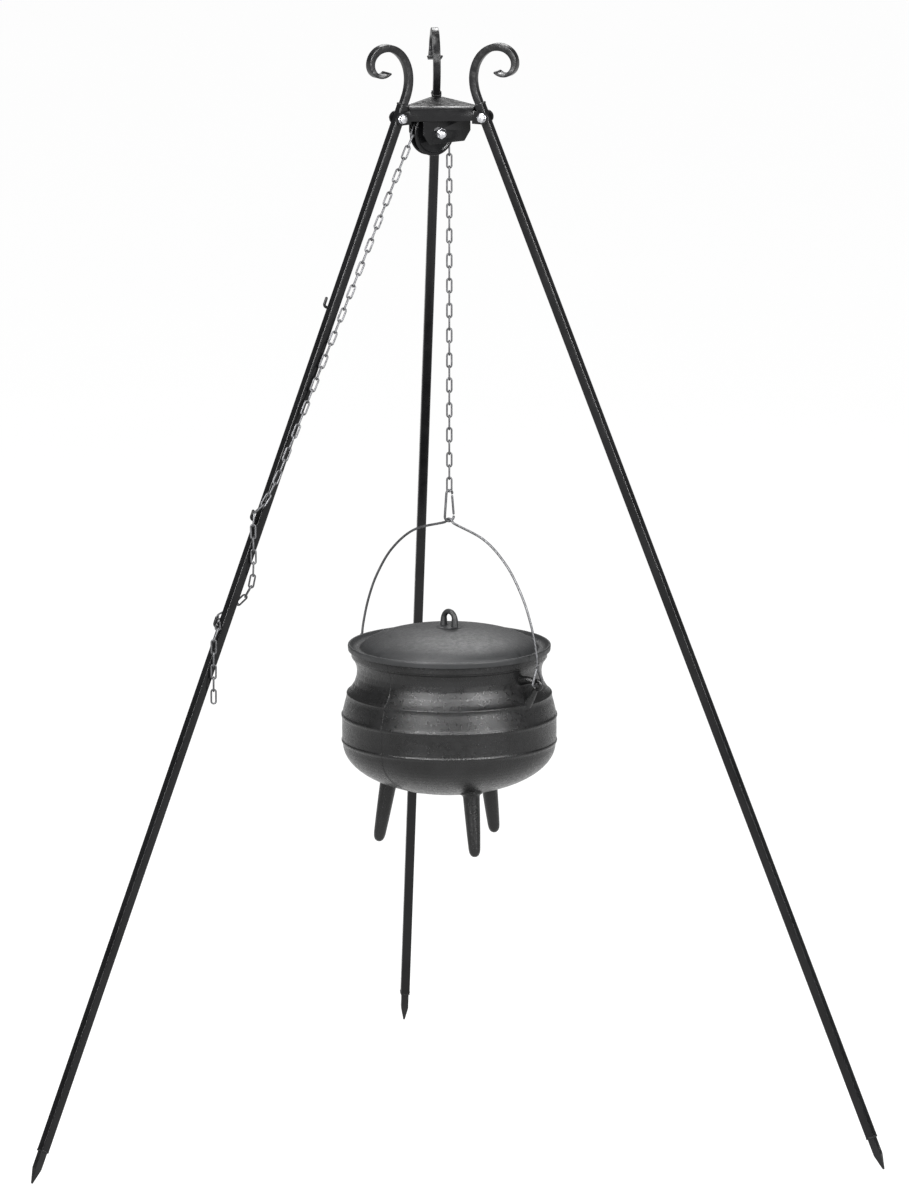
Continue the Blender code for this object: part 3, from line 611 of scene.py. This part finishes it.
def chain(shape, points, face, first=0):
    """Links whose ends lie on points; every other link is turned a quarter about the chain."""
    for i, (start, end) in enumerate(zip(points, points[1:])):
        along = (end - start).normalized()
        across = along.cross(Vector(face)).normalized()
        flat = across if (i + first) % 2 == 0 else across.cross(along)
        link(shape, start, end, flat)


def pitch_points(path):
    """Points one link's pitch apart along a path."""
    path = [Vector(p) for p in path]
    found = [path[0]]
    place, left = path[0], CHAIN_PITCH
    for after in path[1:]:
        while (after - place).length >= left:
            place = place + (after - place).normalized() * left
            found.append(place)
            left = CHAIN_PITCH
        left -= (after - place).length
        place = after
    return found


def leg_side_point(out, front, height):
    """A point given out along the left leg's azimuth, toward the front of it, and up."""
    turn = Matrix.Rotation(math.radians(AZIMUTHS["left"]), 4, "Z")
    return Vector((HEAD.x, HEAD.y, LIFT)) + turn @ Vector((out, front, height))


def chains():
    """The chain hangs from the wheel to the pot and runs back to the hooks of the left leg."""
    camera_side = Vector((math.sin(math.radians(-CAMERA_TURN)), -math.cos(math.radians(CAMERA_TURN)), 0))
    top = Vector((POT.x, POT.y, WHEEL.z - 0.0005))
    snap_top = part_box("snap_hook")[1][2]
    pitch = (top.z - snap_top + 0.0030) / LINKS_HANGING
    hanging = [top - Vector((0, 0, pitch * i)) for i in range(LINKS_HANGING + 1)]
    middle = LINKS_ABOVE_SPLIT
    lower = make("chain_lower", lambda s: chain(s, hanging[middle:], camera_side, middle % 2))
    dress(lower, "pot_hanger", LINKS_WITH_PAINTED_SHADE, "zinc", "chain_hanging")
    upper = make("chain_upper", lambda s: chain(s, hanging[:middle + 1], camera_side))
    dress(upper, "pot_chain", LINKS_WITH_PAINTED_SHADE, "zinc", "chain_hanging")
    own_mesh(upper)

    slope = math.radians(SLACK_SLOPE)
    frame_at = turned(WHEEL_AZIMUTH, 0, WHEEL)
    reach = 180 - SLACK_SLOPE
    rounds = 5
    over = [frame_at @ Vector((PITCH_RADIUS * math.cos(math.radians(reach * i / rounds)), 0,
                               PITCH_RADIUS * math.sin(math.radians(reach * i / rounds))))
            for i in range(rounds + 1)]
    axle_way = frame_at.to_3x3() @ Vector((0, 1, 0))
    dress(make("chain_on_wheel", lambda s: chain(s, over, axle_way, 1)), "head", LINKS_WITH_PAINTED_SHADE, "zinc",
          "chain_over_wheel")

    wheel_out = -(turned(WHEEL_AZIMUTH).inverted() @ (WHEEL - Vector((HEAD.x, HEAD.y, 0)))).x
    start = (wheel_out + PITCH_RADIUS * math.cos(slope), 0, WHEEL.z - LIFT + PITCH_RADIUS * math.sin(slope))
    slack = [start, (0.190, 0.0105, 1.388), (0.300, 0.0184, 1.178), (0.336, 0.0200, 1.110),
             (0.3600, 0.0170, 1.072), (0.3695, 0.0060, 1.0585)]
    points = pitch_points(smooth_path([leg_side_point(*p) for p in slack], 200))
    piece = make("chain_to_leg", lambda s: chain(s, points, camera_side))
    piece.data.materials.append(LINKS_WITH_PAINTED_SHADE)
    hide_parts("chain_slack")
    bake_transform(piece)
    hooked = points[-1]

    leg_frame = turned(AZIMUTHS["left"], -TILT, HINGES["left"])
    lower_hook = leg_frame @ Vector((TUBE / 2 + 0.0060, 0, -HOOK_STATIONS["lower"] + 0.0028))
    loop = [hooked, leg_side_point(0.3735, 0.0105, 1.042), leg_side_point(0.3748, 0.0138, 0.985),
            leg_side_point(0.3762, 0.0125, 0.950), leg_side_point(0.3785, 0.0020, 0.928),
            leg_side_point(0.3850, -0.0120, 0.912), leg_side_point(0.4040, -0.0155, 0.898),
            leg_side_point(0.4300, -0.0135, 0.888), lower_hook + Vector((0.004, -0.010, 0.000)),
            leg_side_point(0.4510, 0.0125, 0.866), leg_side_point(0.4530, 0.0140, 0.830),
            leg_side_point(0.4535, 0.0142, 0.790), leg_side_point(0.4535, 0.0142, 0.750)]
    tail = pitch_points(smooth_path(loop, 300))
    dress(make("chain_end", lambda s: chain(s, tail, camera_side, len(points) % 2)), "leg_left", LINKS_WITH_PAINTED_SHADE,
          "zinc", "chain_loop", "chain_tail")


# ---------------------------------------------------------------- snap hook and bail
def snap_hook():
    """A pear-shaped ring of round wire with a sprung gate, a slot at its nose and a rivet."""
    low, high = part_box("snap_hook")
    pose = turned(SNAP_AZIMUTH, 0, (POT.x, POT.y, 0))
    wire, top_radius, bottom_radius = 0.002, 0.0052, 0.0080
    base = low[2] + wire + bottom_radius
    peak = high[2] - wire - top_radius
    flank = math.degrees(math.asin((bottom_radius - top_radius) / (peak - base)))
    outline = (arc((0, peak), top_radius, -22, 180 - flank, 18)
               + arc((0, base), bottom_radius, 180 - flank, 366, 26))

    def ring(shape):
        tube(shape, [(x, 0, z) for x, z in outline], wire, 12, up=(0, 1, 0), round_ends=True)
    dress(make("snap_ring", ring, pose), "pot_hanger", LINKS_WITH_PAINTED_SHADE, "zinc", "snap_hook")

    foot = Vector((outline[-1][0], 0, outline[-1][1]))
    nose = Vector((outline[0][0], 0, outline[0][1]))

    def gate(shape):
        way = (nose - foot).normalized()
        start, end = foot + way * 0.0014, nose - way * 0.0012
        tube(shape, [start, start.lerp(end, 0.1), start.lerp(end, 0.9), end], wire * 0.93, 12, up=(0, 1, 0),
             round_ends=True)
        pin = start + way * 0.0016
        tube(shape, [pin - Vector((0, 0.0025, 0)), pin + Vector((0, 0.0025, 0))], 0.0008, 10)
    dress(make("gate", gate, pose), "hook_gate", LINKS_WITH_PAINTED_SHADE, "zinc", "snap_gate")


def bail():
    """Bright wire: a hump over the snap hook, two arms, and an eye bent round each ear."""
    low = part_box("snap_hook")[0][2]
    crest = low + 0.004 + 0.0003 + 0.0018
    apex = POT.z + 0.0300
    shoulder = crest - 0.0068
    hump = [(0.0, crest), (0.0020, crest - 0.0001), (0.0038, crest - 0.0010), (0.0055, crest - 0.0031),
            (0.0072, crest - 0.0053)]
    bends = [(0.0744, 0.9800), (0.1210, 0.9430), (0.1526, 0.8965), (0.1710, 0.8530), (0.1820, 0.8100)]
    guides = [(0.0095, shoulder), *((x, z + LIFT) for x, z in bends), (EAR_RADIUS, apex)]
    arms = [(p.x, p.y) for p in smooth_path([(x, z, 0) for x, z in guides], 60)]
    half = hump + arms
    path = [Vector((-x, 0, z)) for x, z in half[::-1]] + [Vector((x, 0, z)) for x, z in half[1:]]
    base, eye_low = 0.0145, POT.z
    corner = 0.0026
    right_bend = arc((base - corner - 0.0018, eye_low + corner), corner, 0, -90, 5)
    left_bend = arc((-base + corner + 0.0018, eye_low + corner), corner, -90, -180, 5)
    eye = [(0.0022, apex - 0.0070), *right_bend, *left_bend, (-0.0030, apex - 0.0062),
           (-0.0016, apex - 0.0018)]
    wraps = [(0.0026 * math.sin(a), 0.0026 * math.cos(a), apex - 0.0010 + 0.0034 * a / math.pi)
             for a in [math.pi * (k / 6) for k in range(2, 20)]]

    def build(shape):
        ends = []
        for sign in (1, -1):
            ends.append([Vector((sign * EAR_RADIUS, sign * y, z)) for y, z in eye])
        whole = ends[1][::-1] + path + ends[0]
        tube(shape, whole, 0.0020, 12, round_ends=True, up=(0, 1, 0))
        for sign in (1, -1):
            tube(shape, [(sign * EAR_RADIUS + x, y, z) for x, y, z in wraps], 0.0011, 8, round_ends=True)
    pose = turned(EAR_AZIMUTH, 0, POT_AXIS)
    dress(make("bail_wire", build, pose), "pot_hanger", WIRE_WITH_PAINTED_SHADE, "zinc", "bail")


# ---------------------------------------------------------------- pot
def pot_profile():
    """Outside from the rim to the bottom, then inside back up to the rim."""
    neck = [(0.1600, 0.7902), (0.1602, 0.7792), (0.1584, 0.7780), (0.1584, 0.7766), (0.1560, 0.7745),
            (0.1522, 0.7655), (0.1508, 0.7570), (0.1516, 0.7470), (0.1552, 0.7355), (0.1608, 0.7265),
            (0.1648, 0.7218)]
    first_ring = [(0.1676, 0.7200), (0.1683, 0.7184), (0.1678, 0.7166)]
    shoulder = [(0.1684, 0.7120), (0.1708, 0.7030), (0.1732, 0.6930), (0.1748, 0.6860)]
    second_ring = [(0.1764, 0.6842), (0.1768, 0.6822), (0.1763, 0.6800), (0.1753, 0.6786)]
    band = [(0.1755, 0.6600), (0.1752, 0.6430)]
    third_ring = [(0.1763, 0.6416), (0.1765, 0.6398), (0.1757, 0.6378), (0.1742, 0.6360)]
    rim_low, low = 0.6350, 0.5540
    bowl = [(0.1740 * math.cos(a), rim_low - (rim_low - low) * math.sin(a))
            for a in [math.radians(angle) for angle in range(5, 90, 5)]]
    inside = [(0.0, low + 0.009)] + [(0.1690 * math.sin(a), 0.650 - (0.650 - low - 0.009) * math.cos(a))
                                     for a in [math.radians(angle) for angle in range(6, 91, 6)]]
    inside += [(0.1690, 0.680), (0.1630, 0.703), (0.1535, 0.722), (0.1462, 0.744), (0.1450, 0.760),
               (0.1535, 0.780), (0.1545, 0.7902)]
    outside = neck + first_ring + shoulder + second_ring + band + third_ring + bowl + [(0.0, low)]
    return fillet(outside[:-1], 0.0012, 2) + [outside[-1]], inside


def pot_foot(shape, azimuth):
    """A tapering foot with a rounded tip, a collar and a swelling where it meets the bowl."""
    profile = [(0.0205, 0.004), (0.0200, 0.0), (0.0186, -0.006), (0.0184, -0.0135), (0.0176, -0.0150),
               (0.0146, -0.0162), (0.0138, -0.0200), (0.0128, -0.045), (0.0112, -0.080), (0.0098, -0.104),
               (0.0088, -0.1105), (0.0066, -0.1150), (0.0034, -0.1172), (0.0, -0.1177)]
    top = turned(azimuth) @ Vector((0.098, 0, 0.5820))
    tip = turned(azimuth) @ Vector((0.1176, 0, 0.4660))
    aim = Vector((0, 0, -1)).rotation_difference(tip - top).to_matrix().to_4x4()
    before = set(shape.verts)
    lathe(shape, fillet(profile[:-1], 0.0012, 2) + [profile[-1]], 40)
    fresh = [v for v in shape.verts if v not in before]
    bmesh.ops.transform(shape, matrix=Matrix.Translation(top) @ aim, verts=fresh)


def pot_ear(shape, azimuth, height):
    """A cast lug: a thick rounded eye on a root that runs down the shoulder."""
    turn = turned(azimuth)
    eye = [(EAR_RADIUS + 0.0071 * math.cos(a), 0.0, height + 0.0071 * math.sin(a))
           for a in [2 * math.pi * k / 28 for k in range(28)]]
    before = set(shape.verts)
    tube(shape, eye, 0.0034, 12, closed=True, up=(0, 1, 0))
    root = smooth_path([(EAR_RADIUS - 0.0030, 0, height - 0.0070), (0.1770, 0, height - 0.0150),
                        (0.1700, 0, height - 0.0260), (0.1630, 0, height - 0.0360)], 14)
    tube(shape, root, lambda share: 0.0040 + 0.0040 * share, 14, up=(0, 1, 0))
    top = smooth_path([(EAR_RADIUS - 0.0060, 0, height + 0.0040), (0.1680, 0, height + 0.0060),
                       (0.1500, 0, height + 0.0030)], 10)
    tube(shape, top, lambda share: 0.0038 + 0.0042 * share, 14, up=(0, 1, 0))
    fresh = [v for v in shape.verts if v not in before]
    bmesh.ops.transform(shape, matrix=turn, verts=fresh)


def pot():
    """One casting: the turned body, three feet, two lugs and the fine seam of its mould."""
    outside, inside = pot_profile()

    def build(shape):
        lathe(shape, outside + inside + [outside[0]], LATHE_STEPS)
        for azimuth in FOOT_AZIMUTHS:
            pot_foot(shape, azimuth)
        for azimuth in (EAR_AZIMUTH, EAR_AZIMUTH + 180):
            pot_ear(shape, azimuth, POT.z - LIFT)
        for azimuth in SEAM_AZIMUTHS:
            seam = [turned(azimuth) @ Vector((r - 0.0001, 0, z)) for r, z in outside if r > 0.02]
            tube(shape, seam, 0.0005, 6)
    pose = Matrix.Translation((POT.x, POT.y, LIFT))
    dress(make("pot_casting", build, pose, 50), "pot", POT_IRON, "cast_iron", "pot")


def lid():
    """A dished lid: turned-up edge, channel, dome and a cast loop handle."""
    rest, rim_base = 0.7905, 0.7935
    dome_edge, dome_top = 0.1450, 0.8280
    dome = [(dome_edge * math.sin(a), rim_base + (dome_top - rim_base) * math.cos(a) ** 1.15)
            for a in [math.radians(angle) for angle in range(0, 88, 4)]]
    dome[0] = (0.0, dome_top + 0.0014)
    dome.insert(1, (0.0190, dome_top + 0.0012))
    dome.insert(2, (0.0215, dome_top + 0.0002))
    edge = [(0.1458, 0.7938), (0.1472, 0.7931), (0.1530, 0.7931), (0.1580, 0.7951), (0.1618, 0.7994),
            (0.1640, 0.8001), (0.1657, 0.7990), (0.1660, 0.7965), (0.1654, rest)]
    under = [(0.1505, rest), (0.1490, rest - 0.0030), (0.1440, rest - 0.0030), (0.1370, rest - 0.0010)]
    inside = [(r * 0.985, z - 0.0045) for r, z in dome[::-1] if r < 0.140]
    inside[-1] = (0.0, inside[-1][1])

    def build(shape):
        profile = dome + fillet([dome[-1], *edge], 0.0020, 3)[1:] + under + inside
        lathe(shape, profile, LATHE_STEPS)
        loop = [(0.0128, 0.8225), (0.0130, 0.8300), *arc((0, 0.8405), 0.0127, 0, 180, 15), (-0.0130, 0.8300),
                (-0.0128, 0.8225)]
        turn = turned(-50)
        points = [turn @ Vector((x, 0, z)) for x, z in loop]
        tube(shape, points, lambda share: 0.0044 + 0.0030 * abs(2 * share - 1) ** 5, 14,
             up=turn @ Vector((0, 1, 0)))
    pose = Matrix.Translation((POT.x, POT.y, LIFT))
    dress(make("lid_casting", build, pose, 40), "lid", LID_IRON, "cast_iron", "pot_lid")


# ---------------------------------------------------------------- studio
def studio():
    """Floor, lights and camera. The lights don't show as objects in any view."""
    # the world is dim, so that the black paint stays black; the floor's own glow makes the ground pale
    world = bpy.data.worlds.new("studio")
    bpy.context.scene.world = world
    world.use_nodes = True
    background = world.node_tree.nodes["Background"]
    background.inputs["Color"].default_value = (1, 1, 1, 1)
    background.inputs["Strength"].default_value = 0.16
    bpy.context.scene.view_settings.view_transform = "Standard"

    m = Nodes("floor")
    m.set(Base_Color=m.colours(m.noise(1.5, 2), ((0.3, (0.10, 0.10, 0.10)), (0.7, (0.11, 0.11, 0.11)))),
          Roughness=0.9, Specular_IOR_Level=0.0, Emission_Color=(1, 1, 1, 1), Emission_Strength=0.96)

    def build(shape):
        bmesh.ops.create_grid(shape, x_segments=2, y_segments=2, size=200)
    floor = make("floor", build, Matrix.Translation((0, 0, -0.0003)))
    floor.data.materials.append(m.material)

    def area(name, place, size, power, aim=(0, -0.2, 0.8)):
        light = bpy.data.lights.new(name, "AREA")
        light.shape = "RECTANGLE"
        light.size, light.size_y = size
        light.energy = power
        item = bpy.data.objects.new(name, light)
        item.location = place
        item.visible_camera = False
        item.rotation_euler = (Vector(aim) - Vector(place)).to_track_quat("-Z", "Y").to_euler()
        bpy.context.scene.collection.objects.link(item)
    area("key_left", (-1.9, -2.3, 2.9), (0.6, 1.5), 180)
    area("key_right", (1.9, -2.5, 2.7), (0.5, 1.5), 165)
    area("strip_left", (-2.0, -3.8, 2.4), (0.4, 2.2), 115)
    area("strip_right", (2.4, -3.5, 2.4), (0.4, 2.2), 115)
    area("front", (0.1, -3.6, 3.2), (0.6, 0.6), 80)
    area("top", (-0.6, -0.4, 3.9), (1.4, 1.0), 70)
    area("back", (0.4, 2.6, 3.6), (1.6, 1.2), 70)

    lens = bpy.data.cameras.new("camera")
    lens.lens = CAMERA_LENS
    lens.clip_end = 200
    camera = bpy.data.objects.new("camera", lens)
    turn = Matrix.Rotation(math.radians(-CAMERA_TURN), 4, "Z")
    camera.location = turn @ Vector(CAMERA_PLACE) + Vector((HEAD.x, HEAD.y, LIFT))
    camera.rotation_euler = (math.radians(90 - CAMERA_DROP), 0, math.radians(-CAMERA_TURN))
    bpy.context.scene.collection.objects.link(camera)
    bpy.context.scene.camera = camera


for side_name in SIDES:
    leg(side_name)
for hook_name, hook_station in HOOK_STATIONS.items():
    chain_hook(hook_name, hook_station)
head()
fasteners()
pulley()
chains()
snap_hook()
bail()
pot()
lid()
studio()
